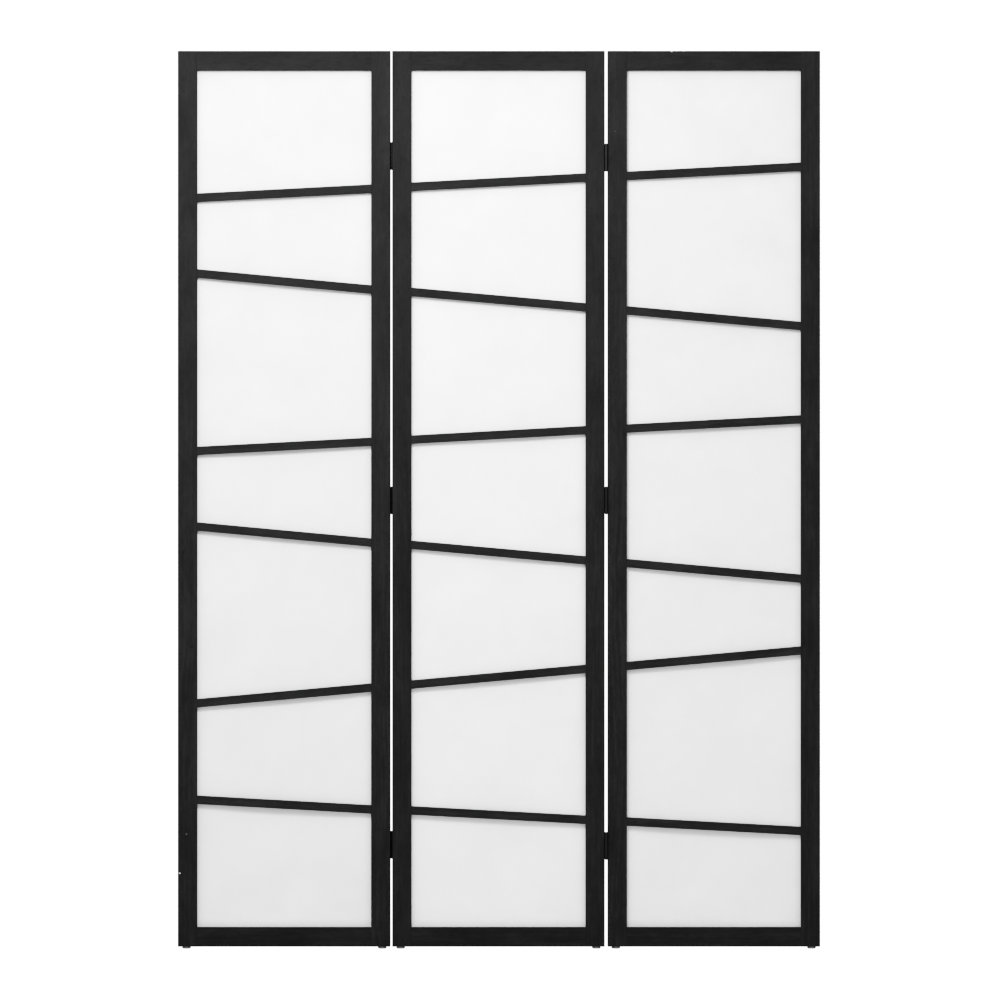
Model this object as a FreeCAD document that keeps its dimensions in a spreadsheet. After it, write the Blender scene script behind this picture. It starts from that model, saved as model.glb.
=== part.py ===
import FreeCAD, Part
import math
import os

import Sketcher

# Three-panel shoji folding screen, standing open and flat, millimetres.
# +X runs along the screen, -Y is the front, +Z is up. The origin is on the floor under the middle of the screen.
# Each panel is a softwood frame: two full-height stiles with two rails dowelled between them, six thin inclined
# slats tenoned between the stiles, and one sheet of non-woven fabric in a rebate at the back under glued beads.
# Three butt hinges join each pair of panels. The left pair has its barrels at the back and the right pair at the
# front, so the screen folds into a Z. Each panel stands on two moulded glides.

V = FreeCAD.Vector
doc = FreeCAD.newDocument("shoji_folding_screen")

# ---------------------------------------------------------------- driving dimensions
DIMS = [
    ("frame_height", 1696.0, "height of a panel above its glides"),
    ("panel_width", 402.0, "width of a panel"),
    ("thickness", 18.0, "thickness of stiles and rails"),
    ("stile_width", 36.0, "face width of a stile"),
    ("rail_width", 36.0, "face width of a rail"),
    ("left_gap", 4.0, "clear gap between the left and centre panels"),
    ("right_gap", 6.0, "clear gap between the centre and right panels"),
    ("outer_round", 1.0, "softening of the outer long edges"),
    ("inner_round", 0.5, "softening of the inner front edges"),
    ("end_chamfer", 0.6, "softening of the ends of the stiles"),
    ("rebate_width", 8.0, "rebate at the back, across the face"),
    ("rebate_depth", 8.0, "rebate at the back, into the thickness"),
    ("slat_width", 15.6, "face width of a slat"),
    ("slat_thick", 8.0, "thickness of a slat"),
    ("slat_round", 0.8, "softening of the slat edges"),
    ("tenon_length", 5.0, "stub tenon on each end of a slat"),
    ("tenon_thick", 3.9, "thickness of the tenon"),
    ("tenon_height", 9.0, "height of the tenon"),
    ("mortise_depth", 5.5, "depth of the mortise in the stile"),
    ("mortise_thick", 4.0, "width of the mortise"),
    ("mortise_height", 9.2, "height of the mortise"),
    ("dowel_dia", 5.9, "corner dowel"),
    ("dowel_length", 30.0, "corner dowel length"),
    ("dowel_hole_dia", 6.0, "hole for a corner dowel"),
    ("dowel_hole_depth", 15.5, "depth of that hole in each piece"),
    ("dowel_first", 9.0, "first dowel from the outer edge of the rail"),
    ("dowel_second", 23.0, "second dowel from the outer edge of the rail"),
    ("fabric_thick", 0.5, "non-woven fabric"),
    ("fabric_play", 0.5, "margin of the fabric inside the rebate"),
    ("bead_width", 7.5, "glued retaining bead, across the face"),
    ("bead_thick", 6.5, "glued retaining bead, into the rebate"),
    ("bead_play", 0.1, "margin of the bead inside the rebate"),
    ("bead_round", 0.8, "softening of the bead"),
    ("glide_height", 4.0, "part of the glide under the stile"),
    ("glide_dia", 16.0, "moulded glide"),
    ("glide_round", 1.2, "rounding of the sole of the glide"),
    ("glide_inset", 15.5, "glide centre from the outer edge of the panel"),
    ("glide_stem_dia", 5.9, "stem pushed into the stile"),
    ("glide_stem_length", 12.0, "length of the stem"),
    ("glide_hole_dia", 6.0, "hole for the stem"),
    ("glide_hole_depth", 12.5, "depth of that hole"),
    ("hinge_height", 50.0, "height of a butt hinge"),
    ("leaf_reach", 17.0, "hinge axis to the free edge of the leaf"),
    ("leaf_thick", 1.2, "sheet thickness of the leaf"),
    ("leaf_start", 3.4, "axis to the leaf where the other leaf's knuckle turns"),
    ("leaf_corner", 2.0, "rounded corners of the leaf"),
    ("knuckle_radius", 3.0, "outside radius of the rolled knuckle"),
    ("knuckle_bore", 1.8, "inside radius of the rolled knuckle"),
    ("short_knuckle", 6.5, "height of an end knuckle"),
    ("knuckle_play", 0.15, "gap between two knuckles"),
    ("axis_offset", 2.5, "hinge axis in front of the face of the panel"),
    ("housing_depth", 1.0, "depth to which the left hinges are let in"),
    ("housing_play", 0.3, "margin round a leaf in its housing"),
    ("pin_radius", 1.75, "hinge pin"),
    ("pin_head_radius", 2.6, "head on each end of the pin"),
    ("pin_head_thick", 0.9, "thickness of that head"),
    ("pin_play", 0.2, "gap between the head and the knuckle"),
    ("screw_head_radius", 2.65, "countersunk screw head"),
    ("screw_radius", 1.45, "screw shank"),
    ("screw_length", 16.0, "screw, with its head"),
    ("screw_slot", 2.8, "length of the cross recess"),
    ("screw_slot_width", 0.6, "width of the cross recess"),
    ("screw_slot_depth", 0.7, "depth of the cross recess"),
    ("leaf_hole_radius", 1.6, "hole in the leaf"),
    ("countersink", 1.1, "depth of the countersink"),
    ("pilot_radius", 1.5, "pilot hole in the stile"),
    ("pilot_depth", 16.5, "depth of that hole"),
    ("screw_near", 9.0, "axis to the near screw"),
    ("screw_far", 12.5, "axis to the far screw"),
    ("screw_spread", 14.0, "each screw above or below the middle of the hinge"),
    ("left_hinge_top", 1499.0, "middle of the hinge above the frame's bottom"),
    ("left_hinge_middle", 845.0, ""),
    ("left_hinge_bottom", 191.0, ""),
    ("right_hinge_top", 1494.0, ""),
    ("right_hinge_middle", 845.0, ""),
    ("right_hinge_bottom", 191.0, ""),
]

# middle of each slat at the left and the right stile, above the bottom of the frame, from the top slat down
SLATS = {
    "left": [(1418.3, 1435.4), (1275.0, 1244.5), (938.7, 956.1), (795.6, 765.1), (460.7, 490.3), (277.8, 259.5)],
    "centre": [(1439.1, 1456.6), (1240.0, 1210.7), (960.1, 978.1), (760.9, 731.4), (496.1, 525.8), (257.6, 239.9)],
    "right": [(1459.7, 1477.1), (1205.0, 1175.4), (981.1, 998.6), (726.2, 696.7), (531.3, 560.7), (236.6, 218.8)],
}
for panel in ("left", "centre", "right"):
    for number, (at_left, at_right) in enumerate(SLATS[panel], 1):
        DIMS.append((f"{panel}_slat{number}_left", at_left, "middle of the slat at the left stile"))
        DIMS.append((f"{panel}_slat{number}_right", at_right, "middle of the slat at the right stile"))

sheet = doc.addObject("Spreadsheet::Sheet", "Dims")
sheet.Label = "Dims"
VALUES = {}
for row, (alias, value, note) in enumerate(DIMS, 1):
    sheet.set(f"A{row}", alias)
    sheet.set(f"B{row}", repr(value))
    sheet.set(f"C{row}", note)
    sheet.setAlias(f"B{row}", alias)
    VALUES[alias] = value
doc.recompute()


class Q:
    """A length: its number, and the expression on the sheet's cells that gives it."""

    def __init__(self, value, text):
        self.v = float(value)
        self.t = text

    def __add__(self, other):
        other = q(other)
        return Q(self.v + other.v, f"({self.t} + {other.t})")

    def __sub__(self, other):
        other = q(other)
        return Q(self.v - other.v, f"({self.t} - {other.t})")

    def __radd__(self, other):
        return q(other) + self

    def __rsub__(self, other):
        return q(other) - self

    def __mul__(self, other):
        other = q(other)
        return Q(self.v * other.v, f"({self.t} * {other.t})")

    __rmul__ = __mul__

    def __truediv__(self, other):
        other = q(other)
        return Q(self.v / other.v, f"({self.t} / {other.t})")

    def __neg__(self):
        return Q(-self.v, f"(-1 * {self.t})")


def q(x):
    return x if isinstance(x, Q) else Q(x, repr(float(x)))


def D(alias):
    return Q(VALUES[alias], f"Dims.{alias}")


ZERO = q(0)
NODES = []  # every exported object, in order


# ---------------------------------------------------------------- drawing helpers
def new_body(label):
    body = doc.addObject("PartDesign::Body", label)
    body.Label = label
    return body


def sketch(body, role, name, offset=None):
    sk = body.newObject("Sketcher::SketchObject", name)
    plane = [f for f in body.Origin.OriginFeatures if f.Role == role][0]
    sk.AttachmentSupport = [(plane, "")]
    sk.MapMode = "FlatFace"
    if offset is not None:
        sk.AttachmentOffset = FreeCAD.Placement(V(0, 0, offset.v), FreeCAD.Rotation())
        sk.setExpression("AttachmentOffset.Base.z", offset.t)
    return sk


def pin_point(sk, geo, pos, x, y):
    """Holds one point at x, y from the sketch's origin."""
    for kind, c, axis in (("DistanceX", q(x), -2), ("DistanceY", q(y), -1)):
        if abs(c.v) < 1e-9:
            sk.addConstraint(Sketcher.Constraint("PointOnObject", geo, pos, axis))
        elif c.v > 0:
            i = sk.addConstraint(Sketcher.Constraint(kind, -1, 1, geo, pos, c.v))
            sk.setExpression(f"Constraints[{i}]", c.t)
        else:
            i = sk.addConstraint(Sketcher.Constraint(kind, geo, pos, -1, 1, -c.v))
            sk.setExpression(f"Constraints[{i}]", (-c).t)


def polygon(sk, points):
    points = [(q(x), q(y)) for x, y in points]
    first, n = sk.GeometryCount, len(points)
    for i in range(n):
        a, b = points[i], points[(i + 1) % n]
        sk.addGeometry(Part.LineSegment(V(a[0].v, a[1].v, 0), V(b[0].v, b[1].v, 0)), False)
    for i in range(n):
        sk.addConstraint(Sketcher.Constraint("Coincident", first + i, 2, first + (i + 1) % n, 1))
    for i in range(n):
        pin_point(sk, first + i, 1, *points[i])


def rectangle(sk, x0, y0, x1, y1):
    polygon(sk, [(x0, y0), (x1, y0), (x1, y1), (x0, y1)])


def circle(sk, x, y, radius):
    x, y, radius = q(x), q(y), q(radius)
    g = sk.addGeometry(Part.Circle(V(x.v, y.v, 0), V(0, 0, 1), radius.v), False)
    pin_point(sk, g, 3, x, y)
    i = sk.addConstraint(Sketcher.Constraint("Radius", g, radius.v))
    sk.setExpression(f"Constraints[{i}]", radius.t)


def sound(f):
    doc.recompute()
    bad = [s for s in f.State if s in ("Invalid", "Error")]
    if bad or f.Shape.isNull() or not f.Shape.isValid():
        raise RuntimeError(f"{f.Label}: {f.State}")
    return f


def pad(body, sk, length, name, reverse=False):
    f = body.newObject("PartDesign::Pad", name)
    f.Profile = sk
    f.Length = q(length).v
    f.setExpression("Length", q(length).t)
    f.Reversed = reverse
    return sound(f)


def pocket(body, sk, length, name, reverse=False):
    before = body.Tip.Shape.Volume
    f = body.newObject("PartDesign::Pocket", name)
    f.Profile = sk
    f.Length = q(length).v
    f.setExpression("Length", q(length).t)
    f.Reversed = reverse
    sound(f)
    if f.Shape.Volume > before - 0.01:
        raise RuntimeError(f"{f.Label} cuts nothing")
    return f


def revolve(body, sk, name):
    f = body.newObject("PartDesign::Revolution", name)
    f.Profile = sk
    f.ReferenceAxis = (sk, ["V_Axis"])
    f.Angle = 360.0
    return sound(f)


def edges_where(shape, test, unless=None):
    """Names of the edges whose end points, and middle, all pass the test, apart from those that lie in unless."""
    names = []
    for i, e in enumerate(shape.Edges, 1):
        pts = [v.Point for v in e.Vertexes]
        pts.append(e.valueAt((e.FirstParameter + e.LastParameter) / 2))
        if all(test(p) for p in pts) and not (unless and all(unless(p) for p in pts)):
            names.append(f"Edge{i}")
    if not names:
        raise RuntimeError("no edge passes the test")
    return names


def fillet(body, test, radius, name):
    base = body.Tip
    f = body.newObject("PartDesign::Fillet", name)
    f.Base = (base, edges_where(base.Shape, test))
    f.Radius = q(radius).v
    f.setExpression("Radius", q(radius).t)
    return sound(f)


def chamfer(body, test, size, name, unless=None):
    base = body.Tip
    f = body.newObject("PartDesign::Chamfer", name)
    f.Base = (base, edges_where(base.Shape, test, unless))
    f.Size = q(size).v
    f.setExpression("Size", q(size).t)
    return sound(f)


def near(a, b):
    return abs(a - q(b).v) < 1e-4


def place(obj, x, y, z, rotation=None):
    x, y, z = q(x), q(y), q(z)
    obj.Placement = FreeCAD.Placement(V(x.v, y.v, z.v), rotation or FreeCAD.Rotation())
    obj.setExpression("Placement.Base.x", x.t)
    obj.setExpression("Placement.Base.y", y.t)
    obj.setExpression("Placement.Base.z", z.t)


def node(obj):
    NODES.append(obj)
    return obj


def group(label, members):
    """Several identical small pieces, kept as separate solids under one name."""
    c = doc.addObject("Part::Compound", label)
    c.Label = label
    c.Links = members
    sound(c)
    return node(c)


def copy_of(master, label, x, y, z, rotation=None):
    link = doc.addObject("App::Link", label)
    link.Label = label
    link.LinkedObject = master
    link.LinkTransform = False
    place(link, x, y, z, rotation)
    return link


# ---------------------------------------------------------------- where things stand
half = D("thickness") / 2
total = D("panel_width") * 3 + D("left_gap") + D("right_gap")
X0 = {"left": -(total / 2)}
X0["centre"] = X0["left"] + D("panel_width") + D("left_gap")
X0["right"] = X0["centre"] + D("panel_width") + D("right_gap")
Z0 = D("glide_height")
opening = D("panel_width") - D("stile_width") * 2
AXIS_X = {"left": X0["centre"] - D("left_gap") / 2, "right": X0["right"] - D("right_gap") / 2}
AXIS_Y = {"left": half + D("axis_offset"), "right": -(half + D("axis_offset"))}
INTO = {"left": -1.0, "right": 1.0}  # direction in Y from the hinge axis into the gap
LEVELS = ("top", "middle", "bottom")
floor_of_rebate = half - D("rebate_depth")
slat_mid_y = -half + D("slat_thick") / 2


def screw_spots(gap, on_centre):
    """The two screws of one leaf: distance from the axis into the gap, and height over the middle of the hinge."""
    up = 1.0 if on_centre else -1.0
    return [(D("screw_near"), D("screw_spread") * up), (D("screw_far"), D("screw_spread") * -up)]


# ---------------------------------------------------------------- stiles
def make_stile(panel, side):
    """Full-height upright. side says which edge of the panel it stands at."""
    label = f"{panel}_panel_{side}_stile"
    body = new_body(label)
    w, h = D("stile_width"), D("frame_height")
    left = side == "left"
    inner = w if left else ZERO
    outer = ZERO if left else w

    sk = sketch(body, "XY_Plane", f"{label}_section")
    rectangle(sk, ZERO, -half, w, half)
    pad(body, sk, h, f"{label}_blank")
    # the end grain is eased all round, except where a rail meets it
    chamfer(
        body,
        lambda p: near(p.z, 0) or near(p.z, h),
        D("end_chamfer"),
        f"{label}_ends",
        unless=lambda p: near(p.x, inner),
    )
    # the long edges, which now run between the eased ends
    reach = D("end_chamfer").v + 1
    fillet(
        body,
        lambda p: near(p.x, outer) and near(abs(p.y), half) and (p.z < reach or p.z > h.v - reach or near(p.z, h / 2)),
        D("outer_round"),
        f"{label}_outer_edges",
    )
    fillet(
        body,
        lambda p: near(p.x, inner) and near(p.y, -half) and (p.z < reach or p.z > h.v - reach or near(p.z, h / 2)),
        D("inner_round"),
        f"{label}_inner_edge",
    )

    # rebate for the fabric and its beads, stopped just inside the rails
    low = D("rail_width") - D("rebate_width")
    sk = sketch(body, "XZ_Plane", f"{label}_rebate_outline", -half)
    if left:
        rectangle(sk, w - D("rebate_width"), low, w + 1, h - low)
    else:
        rectangle(sk, q(-1), low, D("rebate_width"), h - low)
    pocket(body, sk, D("rebate_depth"), f"{label}_rebate", reverse=True)

    # mortises for the slats
    sk = sketch(body, "YZ_Plane", f"{label}_mortise_outline", inner)
    for number in range(1, 7):
        mid = D(f"{panel}_slat{number}_{side}")
        rectangle(
            sk,
            slat_mid_y - D("mortise_thick") / 2,
            mid - D("mortise_height") / 2,
            slat_mid_y + D("mortise_thick") / 2,
            mid + D("mortise_height") / 2,
        )
    pocket(body, sk, D("mortise_depth"), f"{label}_mortises", reverse=not left)

    # dowel holes for the rails
    sk = sketch(body, "YZ_Plane", f"{label}_dowel_outline", inner)
    for z in (D("dowel_first"), D("dowel_second"), h - D("dowel_first"), h - D("dowel_second")):
        circle(sk, ZERO, z, D("dowel_hole_dia") / 2)
    pocket(body, sk, D("dowel_hole_depth"), f"{label}_dowel_holes", reverse=not left)

    # hole for the stem of the glide
    sk = sketch(body, "XY_Plane", f"{label}_glide_outline")
    circle(sk, D("glide_inset") if left else w - D("glide_inset"), ZERO, D("glide_hole_dia") / 2)
    pocket(body, sk, D("glide_hole_depth"), f"{label}_glide_hole", reverse=True)

    # hinges: housings at the left gap only, pilot holes at both
    gap = {("left", "right"): "left", ("centre", "left"): "left", ("centre", "right"): "right", ("right", "left"): "right"}.get(
        (panel, side)
    )
    if gap:
        on_centre = panel == "centre"
        if gap == "left":
            sk = sketch(body, "YZ_Plane", f"{label}_housing_outline", outer)
            reach = AXIS_Y[gap] + (D("leaf_reach") + D("housing_play")) * INTO[gap]
            for level in LEVELS:
                mid = D(f"{gap}_hinge_{level}")
                rectangle(
                    sk,
                    reach,
                    mid - D("hinge_height") / 2 - D("housing_play"),
                    half + 1,
                    mid + D("hinge_height") / 2 + D("housing_play"),
                )
            pocket(body, sk, D("housing_depth"), f"{label}_housings", reverse=left)
        sk = sketch(body, "YZ_Plane", f"{label}_pilot_outline", outer)
        for level in LEVELS:
            mid = D(f"{gap}_hinge_{level}")
            for reach, up in screw_spots(gap, on_centre):
                circle(sk, AXIS_Y[gap] + reach * INTO[gap], mid + up, D("pilot_radius"))
        pocket(body, sk, D("pilot_depth"), f"{label}_pilot_holes", reverse=left)

    x = X0[panel] if left else X0[panel] + D("panel_width") - w
    place(body, x, 0, Z0)
    return node(body)


# ---------------------------------------------------------------- rails
def make_rail(panel, level):
    label = f"{panel}_panel_{level}_rail"
    body = new_body(label)
    w = D("rail_width")
    sk = sketch(body, "YZ_Plane", f"{label}_section")
    if level == "bottom":
        inner, outer = w, ZERO
        polygon(
            sk,
            [
                (-half, ZERO),
                (half, ZERO),
                (half, w - D("rebate_width")),
                (floor_of_rebate, w - D("rebate_width")),
                (floor_of_rebate, w),
                (-half, w),
            ],
        )
        holes = (D("dowel_first"), D("dowel_second"))
        z = Z0
    else:
        inner, outer = ZERO, w
        polygon(
            sk,
            [
                (-half, ZERO),
                (floor_of_rebate, ZERO),
                (floor_of_rebate, D("rebate_width")),
                (half, D("rebate_width")),
                (half, w),
                (-half, w),
            ],
        )
        holes = (w - D("dowel_first"), w - D("dowel_second"))
        z = Z0 + D("frame_height") - w
    pad(body, sk, opening, f"{label}_blank")
    fillet(body, lambda p: near(p.z, outer) and near(abs(p.y), half), D("outer_round"), f"{label}_outer_edges")
    fillet(body, lambda p: near(p.z, inner) and near(p.y, -half), D("inner_round"), f"{label}_inner_edge")
    for end, at, reverse in (("left", ZERO, True), ("right", opening, False)):
        sk = sketch(body, "YZ_Plane", f"{label}_{end}_dowel_outline", at)
        for height in holes:
            circle(sk, ZERO, height, D("dowel_hole_dia") / 2)
        pocket(body, sk, D("dowel_hole_depth"), f"{label}_{end}_dowel_holes", reverse=reverse)
    place(body, X0[panel] + D("stile_width"), 0, z)
    return node(body)


# ---------------------------------------------------------------- slats
def make_slat(panel, number):
    label = f"{panel}_panel_slat_{number}"
    body = new_body(label)
    a = D(f"{panel}_slat{number}_left")
    b = D(f"{panel}_slat{number}_right")
    # the slat's width is measured square to its run, so its height at a stile is a little more
    lean = math.cos(math.atan2(b.v - a.v, opening.v))
    tall = D("slat_width") / q(round(lean, 6))
    sk = sketch(body, "XZ_Plane", f"{label}_outline")
    polygon(
        sk,
        [
            (ZERO, a - tall / 2),
            (opening, b - tall / 2),
            (opening, b + tall / 2),
            (ZERO, a + tall / 2),
        ],
    )
    pad(body, sk, D("slat_thick"), f"{label}_blank")
    box = body.Tip.Shape.BoundBox
    if box.YMax > 0.001:
        raise RuntimeError("the slat's blank stands on the wrong side")

    def long_edge(p):
        return near(p.y, 0) or near(p.y, -D("slat_thick"))

    # the four long edges: each runs the whole way between the stiles in one face
    names = []
    for i, e in enumerate(body.Tip.Shape.Edges, 1):
        ends = [v.Point for v in e.Vertexes]
        if abs(ends[0].x - ends[1].x) > 1 and all(long_edge(p) for p in ends):
            names.append(f"Edge{i}")
    base = body.Tip
    f = body.newObject("PartDesign::Fillet", f"{label}_edges")
    f.Base = (base, names)
    f.Radius = D("slat_round").v
    f.setExpression("Radius", D("slat_round").t)
    sound(f)
    for end, at, mid, reverse in (("left", ZERO, a, True), ("right", opening, b, False)):
        sk = sketch(body, "YZ_Plane", f"{label}_{end}_tenon_outline", at)
        rectangle(
            sk,
            -(D("slat_thick") / 2) - D("tenon_thick") / 2,
            mid - D("tenon_height") / 2,
            -(D("slat_thick") / 2) + D("tenon_thick") / 2,
            mid + D("tenon_height") / 2,
        )
        pad(body, sk, D("tenon_length"), f"{label}_{end}_tenon", reverse=reverse)
    place(body, X0[panel] + D("stile_width"), -half + D("slat_thick"), Z0)
    return node(body)


# ---------------------------------------------------------------- fabric and beads
def make_fabric(panel):
    label = f"{panel}_panel_fabric"
    box = doc.addObject("Part::Box", label)
    box.Label = label
    width = opening + (D("rebate_width") - D("fabric_play")) * 2
    height = D("frame_height") - (D("rail_width") - D("rebate_width") + D("fabric_play")) * 2
    for prop, value in (("Length", width), ("Width", D("fabric_thick")), ("Height", height)):
        setattr(box, prop, value.v)
        box.setExpression(prop, value.t)
    place(
        box,
        X0[panel] + D("stile_width") - D("rebate_width") + D("fabric_play"),
        floor_of_rebate,
        Z0 + D("rail_width") - D("rebate_width") + D("fabric_play"),
    )
    sound(box)
    return node(box)


def make_beads(panel):
    """Four beads glued into the rebate over the edge of the fabric: two long ones at the sides, two short between."""
    y = floor_of_rebate + D("fabric_thick")
    x_in = D("stile_width") - D("rebate_width") + D("bead_play")
    z_in = D("rail_width") - D("rebate_width") + D("bead_play")
    tall = D("frame_height") - z_in * 2
    wide = D("panel_width") - (x_in + D("bead_width") + D("bead_play")) * 2
    members = []
    for name in ("left", "right", "bottom", "top"):
        part_label = f"{panel}_panel_bead_{name}"
        body = new_body(part_label)
        sk = sketch(body, "XY_Plane", f"{part_label}_section")
        rectangle(sk, ZERO, ZERO, D("bead_width"), D("bead_thick"))
        long = name in ("left", "right")
        pad(body, sk, tall if long else wide, f"{part_label}_blank")
        # the two long edges that show at the back
        fillet(
            body,
            lambda p: near(p.y, D("bead_thick")) and (near(p.x, 0) or near(p.x, D("bead_width"))),
            D("bead_round"),
            f"{part_label}_edges",
        )
        if name == "left":
            place(body, X0[panel] + x_in, y, Z0 + z_in)
        elif name == "right":
            place(body, X0[panel] + D("panel_width") - x_in - D("bead_width"), y, Z0 + z_in)
        else:
            # laid along X: the section's X runs down, its Y stays towards the back
            turn = FreeCAD.Rotation(V(0, 1, 0), 90)
            z = Z0 + z_in + D("bead_width") if name == "bottom" else Z0 + D("frame_height") - z_in
            place(body, X0[panel] + x_in + D("bead_width") + D("bead_play"), y, z, turn)
        members.append(body)
    return group(f"{panel}_panel_beads", members)


# ---------------------------------------------------------------- small pieces, drawn once
def make_dowel():
    body = new_body("dowel_pattern")
    r, l, c = D("dowel_dia") / 2, D("dowel_length"), q(0.6)
    sk = sketch(body, "XZ_Plane", "dowel_outline")
    polygon(sk, [(ZERO, ZERO), (r - c, ZERO), (r, c), (r, l - c), (r - c, l), (ZERO, l)])
    revolve(body, sk, "dowel_turned")
    return body


def make_glide():
    body = new_body("glide_pattern")
    r, t = D("glide_dia") / 2, D("glide_height")
    s, l = D("glide_stem_dia") / 2, D("glide_stem_length")
    sk = sketch(body, "XZ_Plane", "glide_outline")
    polygon(sk, [(ZERO, ZERO), (r, ZERO), (r, t), (s, t), (s, t + l - 1), (s - 0.8, t + l), (ZERO, t + l)])
    revolve(body, sk, "glide_moulded")
    # the rim of the sole
    base = body.Tip
    names = [
        f"Edge{i}"
        for i, e in enumerate(base.Shape.Edges, 1)
        if e.Curve.TypeId == "Part::GeomCircle" and near(e.Curve.Radius, r) and near(e.Curve.Center.z, 0)
    ]
    f = body.newObject("PartDesign::Fillet", "glide_rim")
    f.Base = (base, names)
    f.Radius = D("glide_round").v
    f.setExpression("Radius", D("glide_round").t)
    sound(f)
    return body


def make_pin():
    body = new_body("pin_pattern")
    r, hr, ht = D("pin_radius"), D("pin_head_radius"), D("pin_head_thick")
    e = D("hinge_height") / 2 + D("pin_play")
    c = q(0.4)
    sk = sketch(body, "XZ_Plane", "pin_outline")
    polygon(
        sk,
        [
            (ZERO, -(e + ht)),
            (hr - c, -(e + ht)),
            (hr, -(e + ht - c)),
            (hr, -e),
            (r, -e),
            (r, e),
            (hr, e),
            (hr, e + ht - c),
            (hr - c, e + ht),
            (ZERO, e + ht),
        ],
    )
    revolve(body, sk, "pin_turned")
    return body


def make_screw():
    """Countersunk wood screw: the head's face at the origin looks along +Z."""
    body = new_body("screw_pattern")
    hr, r, l = D("screw_head_radius"), D("screw_radius"), D("screw_length")
    sk = sketch(body, "XZ_Plane", "screw_outline")
    polygon(sk, [(ZERO, ZERO), (hr, ZERO), (r, -(hr - r)), (r, -(l - 3)), (ZERO, -l)])
    revolve(body, sk, "screw_turned")
    a, b = D("screw_slot") / 2, D("screw_slot_width") / 2
    for name, dx, dy in (("a", a, b), ("b", b, a)):
        sk = sketch(body, "XY_Plane", f"screw_slot_outline_{name}")
        rectangle(sk, -dx, -dy, dx, dy)
        pocket(body, sk, D("screw_slot_depth"), f"screw_slot_{name}")
    return body


# ---------------------------------------------------------------- hinge leaves
def rolled_knuckle(sk):
    """The leaf's edge rolled round the pin: starts straight, goes three hundred degrees round, and stops short of
    the leaf again. The hinge axis is the sketch's origin."""
    R, r = D("knuckle_radius"), D("knuckle_bore")
    up = D("leaf_start") + 1.6
    full = Part.Circle(V(0, 0, 0), V(0, 0, 1), R.v)
    bore = Part.Circle(V(0, 0, 0), V(0, 0, 1), r.v)
    a0, a1 = math.radians(180), math.radians(480)
    c, s = math.cos(a1), math.sin(a1)
    g = [
        sk.addGeometry(Part.ArcOfCircle(full, a0, a1), False),
        sk.addGeometry(Part.LineSegment(V(R.v * c, R.v * s, 0), V(r.v * c, r.v * s, 0)), False),
        sk.addGeometry(Part.ArcOfCircle(bore, a0, a1), False),
        sk.addGeometry(Part.LineSegment(V(-r.v, 0, 0), V(-r.v, up.v, 0)), False),
        sk.addGeometry(Part.LineSegment(V(-r.v, up.v, 0), V(-R.v, up.v, 0)), False),
        sk.addGeometry(Part.LineSegment(V(-R.v, up.v, 0), V(-R.v, 0, 0)), False),
    ]
    for arc, radius in ((g[0], R), (g[2], r)):
        sk.addConstraint(Sketcher.Constraint("Coincident", arc, 3, -1, 1))
        i = sk.addConstraint(Sketcher.Constraint("Radius", arc, radius.v))
        sk.setExpression(f"Constraints[{i}]", radius.t)
    for a, pa, b, pb in ((0, 2, 1, 1), (1, 2, 2, 2), (2, 1, 3, 1), (3, 2, 4, 1), (4, 2, 5, 1), (5, 2, 0, 1)):
        sk.addConstraint(Sketcher.Constraint("Coincident", g[a], pa, g[b], pb))
    sk.addConstraint(Sketcher.Constraint("PointOnObject", g[3], 1, -1))
    sk.addConstraint(Sketcher.Constraint("PointOnObject", g[5], 2, -1))
    sk.addConstraint(Sketcher.Constraint("Vertical", g[3]))
    sk.addConstraint(Sketcher.Constraint("Vertical", g[5]))
    sk.addConstraint(Sketcher.Constraint("Horizontal", g[4]))
    i = sk.addConstraint(Sketcher.Constraint("DistanceY", -1, 1, g[3], 2, up.v))
    sk.setExpression(f"Constraints[{i}]", up.t)
    for pos, radius in ((1, R), (2, r)):
        i = sk.addConstraint(Sketcher.Constraint("DistanceX", g[1], pos, -1, 1, radius.v / 2))
        sk.setExpression(f"Constraints[{i}]", (radius / 2).t)


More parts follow.
